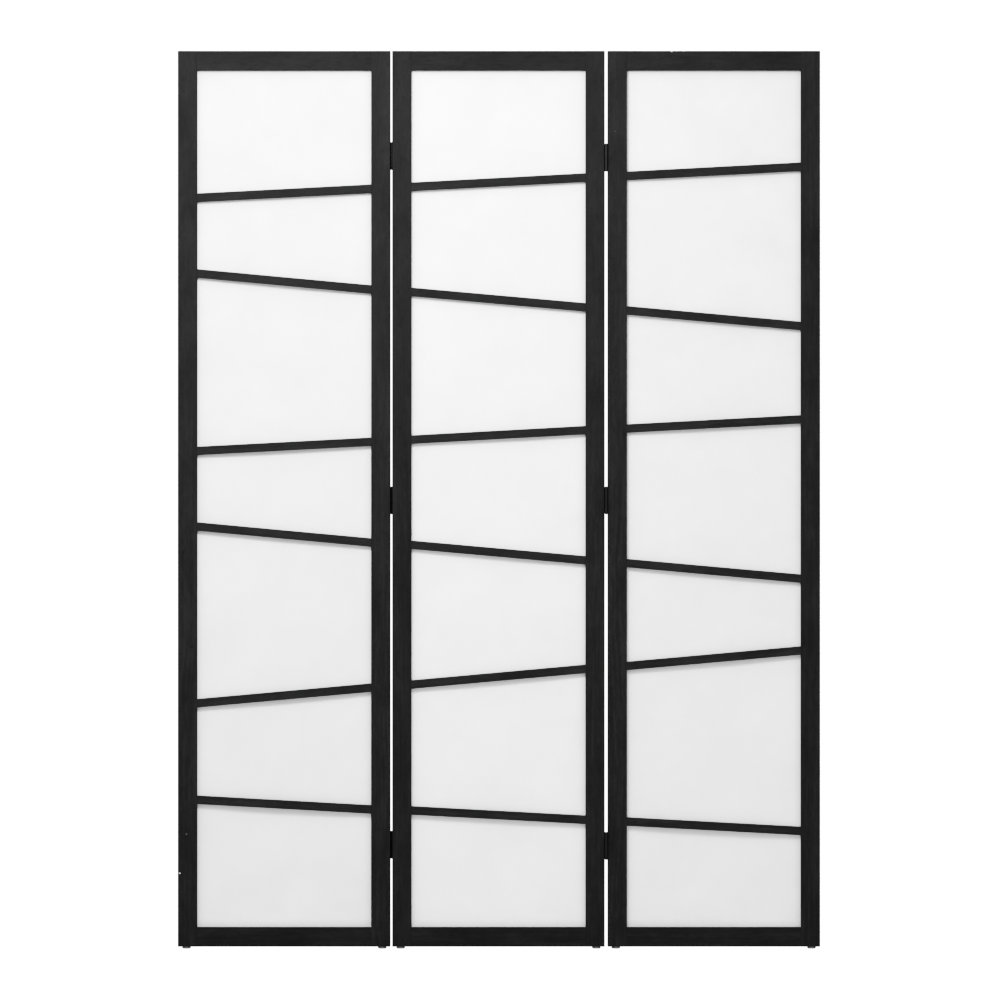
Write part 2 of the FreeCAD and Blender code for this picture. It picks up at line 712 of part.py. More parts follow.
def make_leaf(gap, level, on_centre):
    label = f"{gap}_hinge_{level}_{'centre' if on_centre else 'side'}_leaf"
    body = new_body(label)
    tall = D("hinge_height")
    R, r = D("knuckle_radius"), D("knuckle_bore")
    sk = sketch(body, "XY_Plane", f"{label}_section", -(tall / 2))
    rectangle(sk, -R, D("leaf_start"), -r, D("leaf_reach"))
    pad(body, sk, tall, f"{label}_plate")
    fillet(
        body,
        lambda p: near(p.y, D("leaf_reach")) and near(abs(p.z), tall / 2),
        D("leaf_corner"),
        f"{label}_corners",
    )
    # a short knuckle at the top end and a long one below the middle
    play = D("knuckle_play") / 2
    long = tall / 2 - D("short_knuckle")
    sk = sketch(body, "XY_Plane", f"{label}_long_roll", -long + play)
    rolled_knuckle(sk)
    pad(body, sk, long - play * 2, f"{label}_long_knuckle")
    sk = sketch(body, "XY_Plane", f"{label}_short_roll", long + play)
    rolled_knuckle(sk)
    pad(body, sk, D("short_knuckle") - play, f"{label}_short_knuckle")
    # screw holes, countersunk on the face that looks across the gap
    sk = sketch(body, "YZ_Plane", f"{label}_hole_outline", -r)
    circle(sk, D("screw_near"), D("screw_spread"), D("leaf_hole_radius"))
    circle(sk, D("screw_far"), -D("screw_spread"), D("leaf_hole_radius"))
    pocket(body, sk, D("leaf_thick") + 0.8, f"{label}_holes")
    base = body.Tip
    names = [
        f"Edge{i}"
        for i, e in enumerate(base.Shape.Edges, 1)
        if e.Curve.TypeId == "Part::GeomCircle"
        and near(e.Curve.Radius, D("leaf_hole_radius"))
        and near(e.Curve.Center.x, -r)
    ]
    f = body.newObject("PartDesign::Chamfer", f"{label}_countersinks")
    f.Base = (base, names)
    f.Size = D("countersink").v
    f.setExpression("Size", D("countersink").t)
    sound(f)
    place(body, AXIS_X[gap], AXIS_Y[gap], Z0 + D(f"{gap}_hinge_{level}"), leaf_turn(gap, on_centre))
    return node(body)


def leaf_turn(gap, on_centre):
    """One stamping serves for every leaf. At the left gap it is turned to the back, and on a side panel upside down."""
    turn = FreeCAD.Rotation()
    if not on_centre:
        turn = FreeCAD.Rotation(V(0, 1, 0), 180)
    if gap == "left":
        turn = FreeCAD.Rotation(V(0, 0, 1), 180).multiply(turn)
    return turn


# ---------------------------------------------------------------- the whole screen
dowel, glide, pin, screw = make_dowel(), make_glide(), make_pin(), make_screw()

for panel in ("left", "centre", "right"):
    make_stile(panel, "left")
    make_stile(panel, "right")
    make_rail(panel, "top")
    make_rail(panel, "bottom")
    for number in range(1, 7):
        make_slat(panel, number)
    make_fabric(panel)
    make_beads(panel)

    # two dowels in each corner, lying along X across the joint
    along_x = FreeCAD.Rotation(V(0, 1, 0), 90)
    members = []
    for side, joint in (("left", D("stile_width")), ("right", D("panel_width") - D("stile_width"))):
        for name, z in (
            ("a", D("dowel_first")),
            ("b", D("dowel_second")),
            ("c", D("frame_height") - D("dowel_second")),
            ("d", D("frame_height") - D("dowel_first")),
        ):
            members.append(
                copy_of(
                    dowel,
                    f"{panel}_panel_dowel_{side}_{name}",
                    X0[panel] + joint - D("dowel_length") / 2,
                    0,
                    Z0 + z,
                    along_x,
                )
            )
    group(f"{panel}_panel_dowels", members)

    group(
        f"{panel}_panel_glides",
        [
            copy_of(glide, f"{panel}_panel_glide_left", X0[panel] + D("glide_inset"), 0, 0),
            copy_of(glide, f"{panel}_panel_glide_right", X0[panel] + D("panel_width") - D("glide_inset"), 0, 0),
        ],
    )

SCREWS = {"left": [], "centre": [], "right": []}
for gap in ("left", "right"):
    pins = []
    for level in LEVELS:
        mid = Z0 + D(f"{gap}_hinge_{level}")
        for on_centre in (True, False):
            make_leaf(gap, level, on_centre)
            turn = leaf_turn(gap, on_centre)
            # the head looks from the leaf across the gap
            flip = turn.multVec(V(1, 0, 0)).x
            head = turn.multiply(FreeCAD.Rotation(V(0, 1, 0), 90))
            for number, (reach, up) in enumerate(screw_spots(gap, on_centre), 1):
                SCREWS["centre" if on_centre else gap].append(
                    copy_of(
                        screw,
                        f"{gap}_hinge_{level}_{'centre' if on_centre else 'side'}_screw_{number}",
                        AXIS_X[gap] - D("knuckle_bore") * round(flip),
                        AXIS_Y[gap] + reach * INTO[gap],
                        mid + up,
                        head,
                    )
                )
        pins.append(copy_of(pin, f"{gap}_hinge_{level}_pin", AXIS_X[gap], AXIS_Y[gap], mid))
    group(f"{gap}_hinge_pins", pins)
for panel in ("left", "centre", "right"):
    group(f"{panel}_panel_hinge_screws", SCREWS[panel])

# ---------------------------------------------------------------- checks and export
doc.recompute()
for obj in doc.Objects:
    bad = [s for s in obj.State if s in ("Invalid", "Error")]
    if bad:
        raise RuntimeError(f"{obj.Label} is {bad}")
labels = [obj.Label for obj in NODES]
if len(set(labels)) != len(labels) or len(labels) > 60:
    raise RuntimeError("the names of the pieces are not unique, or too many")
for obj in NODES:
    shape = obj.Shape
    if shape.isNull() or not shape.isValid() or not shape.Solids:
        raise RuntimeError(f"{obj.Label} has no sound shape")

os.makedirs("parts", exist_ok=True)
for obj in NODES:
    obj.Shape.exportStep(os.path.join("parts", obj.Label + ".step"))

box = FreeCAD.BoundBox()
for obj in NODES:
    box.add(obj.Shape.BoundBox)
print(f"{len(NODES)} pieces, {sum(len(o.Shape.Solids) for o in NODES)} solids")
print(f"x {box.XMin:.2f} {box.XMax:.2f}  y {box.YMin:.2f} {box.YMax:.2f}  z {box.ZMin:.2f} {box.ZMax:.2f}")
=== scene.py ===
import math

import bpy
import numpy as np
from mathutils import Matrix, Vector


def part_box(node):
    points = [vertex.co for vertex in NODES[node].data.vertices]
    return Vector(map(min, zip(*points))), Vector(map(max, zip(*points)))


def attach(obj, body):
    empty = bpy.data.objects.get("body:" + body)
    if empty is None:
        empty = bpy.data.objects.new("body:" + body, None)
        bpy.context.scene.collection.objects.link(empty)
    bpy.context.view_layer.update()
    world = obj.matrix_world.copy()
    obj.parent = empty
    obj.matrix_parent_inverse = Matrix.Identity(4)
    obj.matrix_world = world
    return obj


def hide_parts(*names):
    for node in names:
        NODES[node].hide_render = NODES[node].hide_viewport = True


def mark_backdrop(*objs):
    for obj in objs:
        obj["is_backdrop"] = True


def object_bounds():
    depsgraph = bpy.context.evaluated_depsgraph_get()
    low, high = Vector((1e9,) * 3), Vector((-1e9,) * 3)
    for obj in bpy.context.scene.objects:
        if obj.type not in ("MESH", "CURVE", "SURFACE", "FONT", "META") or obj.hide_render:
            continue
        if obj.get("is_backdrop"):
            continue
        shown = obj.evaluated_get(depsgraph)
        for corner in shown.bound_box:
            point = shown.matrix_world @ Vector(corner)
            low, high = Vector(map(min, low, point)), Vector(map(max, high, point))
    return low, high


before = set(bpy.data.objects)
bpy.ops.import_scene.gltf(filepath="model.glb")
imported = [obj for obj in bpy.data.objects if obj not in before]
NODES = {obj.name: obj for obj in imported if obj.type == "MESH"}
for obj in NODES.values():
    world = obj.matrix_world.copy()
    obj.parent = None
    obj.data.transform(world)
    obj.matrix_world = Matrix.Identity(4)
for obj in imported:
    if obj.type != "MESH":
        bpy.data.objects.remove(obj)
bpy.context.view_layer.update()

PANELS = ("left", "centre", "right")


# ---------------------------------------------------------------- node helpers
class Tree:
    """A material's node tree with short calls for the nodes used below."""

    def __init__(self, name):
        self.mat = bpy.data.materials.new(name)
        self.mat.use_nodes = True
        self.nt = self.mat.node_tree
        self.nt.nodes.clear()
        self.out = self.nt.nodes.new("ShaderNodeOutputMaterial")
        self.bsdf = self.nt.nodes.new("ShaderNodeBsdfPrincipled")
        self.nt.links.new(self.bsdf.outputs[0], self.out.inputs[0])

    def link(self, value, socket):
        if isinstance(value, bpy.types.NodeSocket):
            self.nt.links.new(value, socket)
        else:
            socket.default_value = value

    def node(self, kind, **props):
        n = self.nt.nodes.new(kind)
        for k, v in props.items():
            setattr(n, k, v)
        return n

    def math(self, op, a, b=0.0, c=0.0, clamp=False):
        n = self.node("ShaderNodeMath", operation=op, use_clamp=clamp)
        self.link(a, n.inputs[0])
        self.link(b, n.inputs[1])
        if op in ("MULTIPLY_ADD", "SMOOTH_MIN", "SMOOTH_MAX", "COMPARE"):
            self.link(c, n.inputs[2])
        return n.outputs[0]

    def add(self, a, b):
        return self.math("ADD", a, b)

    def sub(self, a, b):
        return self.math("SUBTRACT", a, b)

    def mul(self, a, b):
        return self.math("MULTIPLY", a, b)

    def vec(self, op, a, b=(0, 0, 0)):
        n = self.node("ShaderNodeVectorMath", operation=op)
        self.link(a, n.inputs[0])
        if op == "SCALE":
            self.link(b, n.inputs["Scale"])
        else:
            self.link(b, n.inputs[1])
        return n.outputs["Value"] if op in ("LENGTH", "DISTANCE", "DOT_PRODUCT") else n.outputs[0]

    def combine(self, x, y, z):
        n = self.node("ShaderNodeCombineXYZ")
        for value, socket in zip((x, y, z), n.inputs):
            self.link(value, socket)
        return n.outputs[0]

    def separate(self, v):
        n = self.node("ShaderNodeSeparateXYZ")
        self.link(v, n.inputs[0])
        return n.outputs

    def noise(self, vector, scale=1.0, detail=2.0, rough=0.5, distortion=0.0):
        n = self.node("ShaderNodeTexNoise", noise_dimensions="3D")
        self.link(vector, n.inputs["Vector"])
        n.inputs["Scale"].default_value = scale
        n.inputs["Detail"].default_value = detail
        n.inputs["Roughness"].default_value = rough
        n.inputs["Distortion"].default_value = distortion
        return n.outputs["Fac"]

    def voronoi(self, vector, scale=1.0, feature="F1", randomness=1.0):
        n = self.node("ShaderNodeTexVoronoi", feature=feature)
        self.link(vector, n.inputs["Vector"])
        n.inputs["Scale"].default_value = scale
        n.inputs["Randomness"].default_value = randomness
        return n.outputs["Distance"]

    def step(self, value, a, b, lo=0.0, hi=1.0):
        """Smooth step from lo at a to hi at b."""
        n = self.node("ShaderNodeMapRange", interpolation_type="SMOOTHSTEP", clamp=True)
        self.link(value, n.inputs["Value"])
        for name, v in (("From Min", a), ("From Max", b), ("To Min", lo), ("To Max", hi)):
            self.link(v, n.inputs[name])
        return n.outputs[0]

    def ramp(self, value, stops):
        n = self.node("ShaderNodeValToRGB")
        self.link(value, n.inputs[0])
        r = n.color_ramp
        while len(r.elements) < len(stops):
            r.elements.new(0.5)
        for e, (pos, col) in zip(r.elements, stops):
            e.position = pos
            e.color = (*col, 1) if len(col) == 3 else col
        return n.outputs[0]

    def mix(self, factor, a, b, blend="MIX"):
        n = self.node("ShaderNodeMix", data_type="RGBA", blend_type=blend)
        n.clamp_factor = True
        self.link(factor, n.inputs[0])
        for value, socket in ((a, n.inputs[6]), (b, n.inputs[7])):
            self.link((*value, 1) if isinstance(value, tuple) and len(value) == 3 else value, socket)
        return n.outputs[2]

    def bump(self, height, distance, strength=1.0, normal=None):
        n = self.node("ShaderNodeBump")
        n.inputs["Strength"].default_value = strength
        n.inputs["Distance"].default_value = distance
        self.link(height, n.inputs["Height"])
        if normal is not None:
            self.link(normal, n.inputs["Normal"])
        return n.outputs[0]

    def local(self, origin, angle):
        """Coordinates in metres on the piece: X along it, Y into its depth, Z across its face."""
        tc = self.node("ShaderNodeTexCoord")
        m = self.node("ShaderNodeMapping", vector_type="TEXTURE")
        self.link(tc.outputs["Object"], m.inputs["Vector"])
        m.inputs["Location"].default_value = origin
        m.inputs["Rotation"].default_value = (0.0, -angle, 0.0)
        return m.outputs[0]


# ---------------------------------------------------------------- materials
def painted_wood(name, origin, angle, half, seed, tone=1.0, knots=(), specks=(), wear=0.1):
    """Matt black lacquer brushed over straight-grained softwood. half is (half length, half width,
    half depth) of the piece; the grain runs along it. knots and specks are (u, v, radius)."""
    t = Tree(name)
    p = t.local(origin, angle)
    u, w, v = t.separate(p)
    shift = (seed * 7.31) % 50.0
    # the grain drifts across the board, and runs round the knots
    drift = t.noise(t.combine(t.mul(u, 2.3), t.add(t.mul(v, 7.0), shift), t.mul(w, 7.0)), 1.0, 2.0, 0.5)
    v2 = t.add(v, t.mul(t.sub(drift, 0.5), 0.034))
    knot_mask = None
    for ku, kv, kr in knots:
        du, dv = t.sub(u, ku), t.sub(v, kv)
        d2 = t.add(t.math("POWER", t.math("DIVIDE", du, kr * 3.2), 2.0), t.math("POWER", t.math("DIVIDE", dv, kr * 1.5), 2.0))
        fall = t.math("EXPONENT", t.mul(d2, -1.0))
        side = t.math("TANH", t.math("DIVIDE", dv, kr * 0.5))
        v2 = t.sub(v2, t.mul(t.mul(fall, side), kr * 0.8))
        r = t.math("SQRT", t.add(t.math("POWER", t.math("DIVIDE", du, 1.5), 2.0), t.math("POWER", dv, 2.0)))
        here = t.step(r, kr * 0.35, kr * 0.8, 1.0, 0.0)
        knot_mask = here if knot_mask is None else t.math("MAXIMUM", knot_mask, here)
    streak = t.noise(t.combine(t.mul(u, 5.0), t.add(t.mul(v2, 190.0), shift), t.mul(w, 190.0)), 1.0, 4.0, 0.62)
    fibre = t.noise(t.combine(t.mul(u, 26.0), t.add(t.mul(v2, 900.0), shift), t.mul(w, 900.0)), 1.0, 3.0, 0.6)
    pore = t.noise(t.combine(t.mul(u, 70.0), t.add(t.mul(v2, 2300.0), shift), t.mul(w, 2300.0)), 1.0, 1.0, 0.5)
    pore = t.step(pore, 0.62, 0.74)
    blotch = t.noise(t.combine(t.add(t.mul(u, 8.0), shift), t.mul(v, 26.0), t.mul(w, 26.0)), 1.0, 3.0, 0.55)
    peel = t.noise(p, 1100.0, 2.0, 0.5)
    # brightness of the dry film: streaks, fine fibre and blotches where the coat is thinner
    mottle = t.noise(t.combine(t.add(t.mul(u, 42.0), shift), t.mul(v2, 130.0), t.mul(w, 130.0)), 1.0, 3.0, 0.6, 0.6)
    f = t.add(t.mul(t.sub(streak, 0.5), 2.1), t.mul(t.sub(blotch, 0.5), 1.5))
    f = t.add(f, t.mul(t.sub(mottle, 0.5), 1.4))
    f = t.add(f, t.mul(t.sub(fibre, 0.5), 0.5))
    f = t.sub(f, t.mul(pore, 0.16))
    if knot_mask is not None:
        f = t.sub(f, t.mul(knot_mask, 0.35))
    f = t.math("ADD", f, 0.5, clamp=True)
    lo, mid, hi = 0.0040 * tone, 0.0077 * tone, 0.0134 * tone
    colour = t.ramp(f, [(0.0, (lo,) * 3), (0.5, (mid,) * 3), (1.0, (hi,) * 3)])
    # long edges rub thin: grey-black, broken up along their length
    hu, hv, hw = half
    at_v = t.step(t.math("ABSOLUTE", v), hv - 0.0019, hv - 0.0006)
    at_w = t.step(t.math("ABSOLUTE", w), hw - 0.0019, hw - 0.0006)
    at_u = t.step(t.math("ABSOLUTE", u), hu - 0.0022, hu - 0.0006)
    edge = t.math("MAXIMUM", t.mul(at_v, at_w), t.math("MAXIMUM", t.mul(at_u, at_v), t.mul(at_u, at_w)))
    broken = t.noise(t.combine(t.add(t.mul(u, 34.0), shift), t.mul(v, 420.0), t.mul(w, 420.0)), 1.0, 4.0, 0.65)
    rubbed = t.mul(edge, t.step(broken, 0.54, 0.72))
    colour = t.mix(t.mul(rubbed, wear), colour, (0.028, 0.0275, 0.027))
    bare = t.mul(edge, t.step(broken, 0.76, 0.80))
    colour = t.mix(t.mul(bare, wear), colour, (0.10, 0.095, 0.088))
    # chips through to the pale wood and specks of dust
    chip_mask = None
    for cu, cv, cr, strength in specks:
        du, dv = t.sub(u, cu), t.sub(v, cv)
        r = t.math("SQRT", t.add(t.math("POWER", du, 2.0), t.math("POWER", dv, 2.0)))
        r = t.add(r, t.mul(t.sub(broken, 0.5), cr * 1.2))
        here = t.mul(t.step(r, cr * 0.5, cr * 1.05, 1.0, 0.0), t.step(w, -hw + 0.0045, -hw + 0.0025))
        here = t.mul(here, strength)
        chip_mask = here if chip_mask is None else t.math("MAXIMUM", chip_mask, here)
    if chip_mask is not None:
        colour = t.mix(chip_mask, colour, (0.46, 0.45, 0.43))
    t.link(colour, t.bsdf.inputs["Base Color"])
    rough = t.add(t.mul(t.sub(streak, 0.5), 0.22), t.mul(t.sub(blotch, 0.5), -0.16))
    rough = t.add(t.add(rough, t.mul(pore, 0.1)), t.mul(rubbed, -0.08))
    t.link(t.math("ADD", rough, 0.62, clamp=True), t.bsdf.inputs["Roughness"])
    t.bsdf.inputs["Specular IOR Level"].default_value = 0.27
    h = t.add(t.mul(streak, 0.5), t.mul(fibre, 0.35))
    h = t.sub(h, t.mul(pore, 0.35))
    h = t.add(h, t.mul(peel, 0.12))
    h = t.sub(h, t.mul(bare, 0.3))
    if knot_mask is not None:
        h = t.add(h, t.mul(knot_mask, 0.25))
    t.link(t.bump(h, 0.00045, 0.6), t.bsdf.inputs["Normal"])
    return t.mat


def nonwoven(name, origin, seed, tone=1.0):
    """White non-woven paper-like cloth: cloudy web of fine fibres lying in all directions."""
    t = Tree(name)
    p = t.local(origin, 0.0)
    u, w, v = t.separate(p)
    shift = (seed * 3.77) % 40.0
    flat = t.combine(t.add(u, shift), v, 0.0)
    patch = t.noise(flat, 9.0, 2.0, 0.5, 0.3)
    cloud = t.noise(flat, 34.0, 3.0, 0.5, 0.4)
    flock = t.noise(flat, 190.0, 3.0, 0.6, 0.8)
    fine = t.noise(flat, 1500.0, 2.0, 0.6)
    # fibres: thin bent streaks in several directions
    bent = t.noise(flat, 60.0, 2.0, 0.5)
    web = None
    for k, (a, wide, long) in enumerate(((0.15, 2400.0, 85.0), (0.95, 2100.0, 70.0), (1.75, 2600.0, 95.0), (2.5, 2250.0, 78.0))):
        c, s = math.cos(a), math.sin(a)
        along = t.add(t.mul(u, c), t.mul(v, s))
        across = t.add(t.sub(t.mul(v, c), t.mul(u, s)), t.mul(t.sub(bent, 0.5), 0.012))
        n = t.noise(t.combine(t.add(t.mul(along, long), shift + 5.0 * k), t.mul(across, wide), 3.0 * k), 1.0, 1.0, 0.5)
        n = t.step(n, 0.6, 0.78)
        web = n if web is None else t.math("MAXIMUM", web, n)
    f = t.add(t.mul(t.sub(patch, 0.5), 1.3), t.mul(t.sub(cloud, 0.5), 0.6))
    f = t.add(f, t.mul(t.sub(flock, 0.5), 0.25))
    f = t.add(f, t.mul(t.sub(fine, 0.5), 0.14))
    f = t.add(f, t.mul(web, 0.10))
    f = t.math("ADD", f, 0.45, clamp=True)
    lo, hi = 0.828 * tone, 0.882 * tone
    colour = t.ramp(f, [(0.0, (lo,) * 3), (1.0, (hi,) * 3)])
    # painted shade: a greyer band along the bottom of the sheet, just above the bottom rail, stands in for the shade
    # the rail throws there
    painted_rail_shade = t.mul(t.step(v, -0.8125, -0.7960, 1.0, 0.0), t.add(t.mul(cloud, 0.36), 0.16))
    colour = t.mix(painted_rail_shade, colour, (0.56, 0.56, 0.56))
    t.link(colour, t.bsdf.inputs["Base Color"])
    t.link(t.math("ADD", t.mul(t.sub(flock, 0.5), 0.12), 0.86, clamp=True), t.bsdf.inputs["Roughness"])
    t.bsdf.inputs["Specular IOR Level"].default_value = 0.2
    t.bsdf.inputs["Sheen Weight"].default_value = 0.08
    t.bsdf.inputs["Sheen Roughness"].default_value = 0.5
    h = t.add(t.mul(web, 0.5), t.add(t.mul(fine, 0.35), t.mul(flock, 0.5)))
    t.link(t.bump(h, 0.00014, 0.5), t.bsdf.inputs["Normal"])
    # a share of the light comes through the thin web
    through = t.node("ShaderNodeBsdfTranslucent")
    t.link(colour, through.inputs["Color"])
    both = t.node("ShaderNodeMixShader")
    both.inputs[0].default_value = 0.28
    t.nt.links.new(t.bsdf.outputs[0], both.inputs[1])
    t.nt.links.new(through.outputs[0], both.inputs[2])
    t.nt.links.new(both.outputs[0], t.out.inputs[0])
    return t.mat


def lacquered_steel(name, seed, base=0.0045, rough=0.38):
    """Black lacquer on pressed steel: fine stipple, grey where it is rubbed, a little dust."""
    t = Tree(name)
    tc = t.node("ShaderNodeTexCoord")
    p = t.vec("ADD", tc.outputs["Object"], (seed * 0.37, seed * 0.11, 0.0))
    stipple = t.noise(p, 2600.0, 3.0, 0.6)
    rub = t.noise(p, 420.0, 4.0, 0.65)
    smear = t.noise(p, 90.0, 3.0, 0.5)
    worn = t.step(rub, 0.64, 0.74)
    colour = t.ramp(t.math("ADD", t.mul(t.sub(smear, 0.5), 1.4), 0.5, clamp=True),
                    [(0.0, (base * 0.7,) * 3), (1.0, (base * 1.5,) * 3)])
    colour = t.mix(t.mul(worn, 0.5), colour, (0.03, 0.03, 0.031))
    t.link(colour, t.bsdf.inputs["Base Color"])
    r = t.add(t.mul(t.sub(stipple, 0.5), 0.18), t.mul(t.sub(smear, 0.5), 0.2))
    t.link(t.math("ADD", r, rough, clamp=True), t.bsdf.inputs["Roughness"])
    t.bsdf.inputs["Specular IOR Level"].default_value = 0.32
    t.link(t.bump(t.add(t.mul(stipple, 0.6), t.mul(rub, 0.4)), 0.00008, 0.5), t.bsdf.inputs["Normal"])
    return t.mat


def grey_plastic(name, seed):
    """Grey moulded polyethylene glide: cloudy, lightly scuffed on its foot."""
    t = Tree(name)
    tc = t.node("ShaderNodeTexCoord")
    p = t.vec("ADD", tc.outputs["Object"], (seed * 0.29, 0.0, 0.0))
    cloud = t.noise(p, 160.0, 3.0, 0.55)
    grain = t.noise(p, 2200.0, 2.0, 0.5)
    x, y, z = t.separate(tc.outputs["Object"])
    scuff = t.mul(t.step(z, 0.0012, 0.0, 0.0, 1.0), t.step(t.noise(p, 900.0, 4.0, 0.7), 0.45, 0.6))
    colour = t.ramp(t.math("ADD", t.mul(t.sub(cloud, 0.5), 1.2), 0.5, clamp=True),
                    [(0.0, (0.105,) * 3), (1.0, (0.145,) * 3)])
    colour = t.mix(t.mul(scuff, 0.6), colour, (0.06, 0.058, 0.055))
    t.link(colour, t.bsdf.inputs["Base Color"])
    t.link(t.math("ADD", t.mul(t.sub(grain, 0.5), 0.15), 0.52, clamp=True), t.bsdf.inputs["Roughness"])
    t.bsdf.inputs["Specular IOR Level"].default_value = 0.4
    t.link(t.bump(grain, 0.00006, 0.5), t.bsdf.inputs["Normal"])
    return t.mat


def beech(name, seed):
    """Turned beech dowel, grain along X."""
    t = Tree(name)
    tc = t.node("ShaderNodeTexCoord")
    x, y, z = t.separate(tc.outputs["Object"])
    rings = t.noise(t.combine(t.add(t.mul(x, 14.0), seed * 3.0), t.mul(y, 700.0), t.mul(z, 700.0)), 1.0, 3.0, 0.6)
    ray = t.step(t.noise(t.combine(t.mul(x, 260.0), t.mul(y, 2500.0), t.mul(z, 2500.0)), 1.0, 2.0, 0.5), 0.6, 0.75)
    colour = t.ramp(rings, [(0.25, (0.42, 0.27, 0.15)), (0.75, (0.62, 0.44, 0.27))])
    colour = t.mix(t.mul(ray, 0.5), colour, (0.30, 0.18, 0.10))
    t.link(colour, t.bsdf.inputs["Base Color"])
    t.link(t.math("ADD", t.mul(rings, 0.2), 0.5, clamp=True), t.bsdf.inputs["Roughness"])
    t.link(t.bump(t.sub(rings, t.mul(ray, 0.5)), 0.0001, 0.5), t.bsdf.inputs["Normal"])
    return t.mat


def give(node, mat):
    o = NODES[node]
    if not o.material_slots:
        o.data.materials.append(mat)
    for s in o.material_slots:
        s.material = mat


def corners(node):
    o = NODES[node]
    return np.array([v.co for v in o.data.vertices], float).reshape(-1, 3)


# ---------------------------------------------------------------- wood
KNOTS = {
    "left_panel_left_stile": [(0.795, 0.006, 0.006), (-0.28, -0.008, 0.004)],
    "left_panel_top_rail": [(0.158, 0.003, 0.006)],
    "left_panel_right_stile": [(0.66, -0.004, 0.005), (0.11, 0.010, 0.004)],
    "centre_panel_left_stile": [(0.33, 0.006, 0.005)],
    "centre_panel_right_stile": [(-0.47, -0.006, 0.006)],
    "centre_panel_bottom_rail": [(-0.09, 0.004, 0.005)],
    "right_panel_left_stile": [(-0.12, -0.005, 0.005)],
    "right_panel_right_stile": [(0.52, 0.007, 0.005)],
    "left_panel_bottom_rail": [(0.03, -0.004, 0.005)],
}
# (u, v, radius, strength): the pale specks and the chipped edge that the photograph shows
SPECKS = {
    "left_panel_left_stile": [(-0.709, 0.0145, 0.0021, 0.95), (-0.635, 0.002, 0.0022, 0.18)],
    "right_panel_left_stile": [(0.696, 0.0045, 0.0014, 0.12)],
    "right_panel_top_rail": [(-0.080, 0.0185, 0.0030, 0.9), (-0.071, 0.0188, 0.0022, 0.85),
                             (-0.057, 0.0188, 0.0026, 0.9)],
}
# how black each board's coat is, beside the others
COAT = {
    "left_panel_left_stile": 1.12, "left_panel_right_stile": 1.09, "left_panel_top_rail": 1.01, "left_panel_bottom_rail": 0.87,
    "centre_panel_left_stile": 0.90, "centre_panel_right_stile": 1.10, "centre_panel_top_rail": 0.70, "centre_panel_bottom_rail": 0.95,
    "right_panel_left_stile": 1.17, "right_panel_right_stile": 1.05, "right_panel_top_rail": 1.0, "right_panel_bottom_rail": 1.01,
}
seed = 1
for p in PANELS:
    for part in ["left_stile", "right_stile", "top_rail", "bottom_rail"] + [f"slat_{i}" for i in range(1, 7)]:
        node = f"{p}_panel_{part}"
        co = corners(node)
        mid = (co.min(0) + co.max(0)) / 2
        if "stile" in part:
            angle = math.pi / 2
        elif "rail" in part:
            angle = 0.0
        else:
            flat = co[:, (0, 2)] - co[:, (0, 2)].mean(0)
            d = np.linalg.svd(flat, full_matrices=False)[2][0]
            d = d if d[0] > 0 else -d
            angle = math.atan2(d[1], d[0])
        c, s = math.cos(angle), math.sin(angle)
        rel = co - mid
        along, across = rel[:, 0] * c + rel[:, 2] * s, rel[:, 2] * c - rel[:, 0] * s
        half = (float(np.abs(along).max()), float(np.abs(across).max()), float(np.abs(rel[:, 1]).max()))
        mat = painted_wood(f"black_wood_{node}", tuple(float(x) for x in mid), angle, half, seed, COAT.get(node, 1.40),
                           knots=KNOTS.get(node, ()), specks=SPECKS.get(node, ()))
        give(node, mat)
        seed += 1
    # the four beads are one node: upright ones and level ones share it, and one material with upright grain covers
    # them all
    node = f"{p}_panel_beads"
    lo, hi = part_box(node)
    mid = (lo + hi) / 2
    give(node, painted_wood(f"black_wood_{node}", tuple(mid), math.pi / 2,
                            ((hi.z - lo.z) / 2, (hi.x - lo.x) / 2, (hi.y - lo.y) / 2), seed))
    seed += 1
    give(f"{p}_panel_dowels", beech(f"beech_{p}", seed))
    give(f"{p}_panel_glides", grey_plastic(f"glide_grey_{p}", seed))
    give(f"{p}_panel_hinge_screws", lacquered_steel(f"screw_black_{p}", seed, 0.006, 0.34))
k = 0
for n in NODES:
    if n.endswith("_leaf"):
        give(n, lacquered_steel(f"black_steel_{n}", 3 + k))
        k += 1
    elif n.endswith("hinge_pins"):
        give(n, lacquered_steel(f"pin_steel_{n}", 40 + k, 0.006, 0.3))


# ---------------------------------------------------------------- fabric
def smooth_noise(x, z, rng, wave_x, wave_z, n=24):
    """A sum of random plane waves of about those lengths, of unit size."""
    out = np.zeros_like(x)
    for _ in range(n):
        kx = 2 * math.pi / wave_x * rng.normal(0, 0.75)
        kz = 2 * math.pi / wave_z * rng.normal(0, 0.75)
        out += np.cos(kx * x + kz * z + rng.uniform(0, 2 * math.pi))
    return out / math.sqrt(n / 2)


def lines(lo, hi, edge, coarse):
    """Grid lines from lo to hi, closer together near both ends."""
    span = hi - lo
    near = np.array([0.0, 0.0035, 0.0070, 0.0076, 0.0095, 0.0120, 0.0155, 0.0200, 0.0250, 0.0300])
    inner = np.linspace(edge, span - edge, max(2, int(round((span - 2 * edge) / coarse)) + 1))
    s = np.concatenate([near[near < edge - 0.001], inner, (span - near[near < edge - 0.001])[::-1]])
    return lo + s


def smoothstep(a, b, x):
    t = np.clip((x - a) / (b - a), 0, 1)
    return t * t * (3 - 2 * t)


TONE = {"left": 0.970, "centre": 1.010, "right": 0.992}


